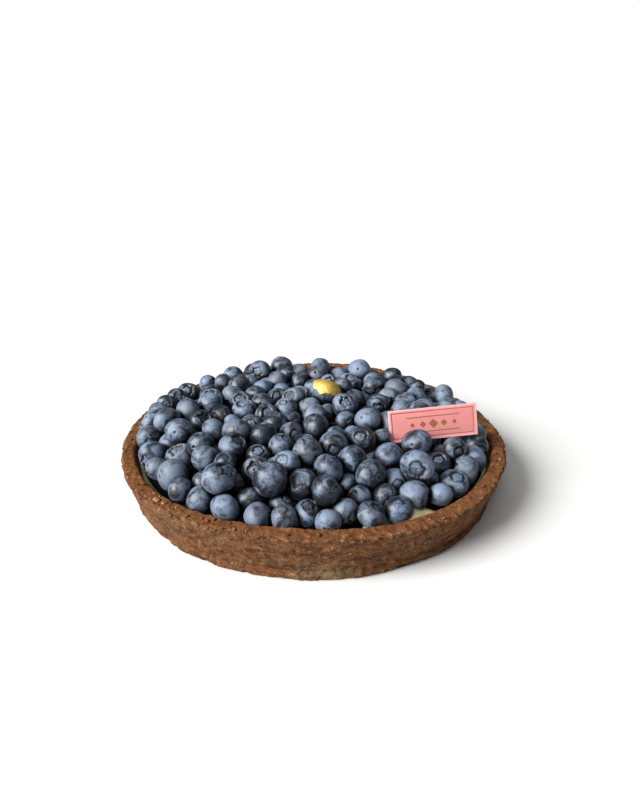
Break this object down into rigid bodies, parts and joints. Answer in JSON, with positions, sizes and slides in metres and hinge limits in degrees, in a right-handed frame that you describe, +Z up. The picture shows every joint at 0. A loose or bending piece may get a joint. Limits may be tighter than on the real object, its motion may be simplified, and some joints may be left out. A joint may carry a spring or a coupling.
{
  "type": "fruit tart",
  "caption": "Round shortcrust tart with a pastry cream filling, a low heap of blueberries, a plain pink chocolate plaque and a flake of gold leaf on one berry.",
  "frame": {"origin": "centre of the shell's flat underside", "axes": "+Z up through the middle of the tart, -Y towards the front, where the plaque faces, +X to the side on which the plaque stands"},
  "size_m": [0.23, 0.23, 0.055],
  "materials": {
    "crust": "dry, crumbly baked cocoa shortcrust",
    "cream": "soft satin pastry cream",
    "berries": "waxy bloom over dark blue skin",
    "gold": "crinkled bright leaf",
    "plaque": "smooth satin chocolate"
  },
  "bodies": {
    "root": {"crust_shell": "crust", "pastry_cream": "cream", "blueberry_heap": "berries", "gold_leaf": "gold", "chocolate_plaque": "plaque"}
  },
  "joints": []
}
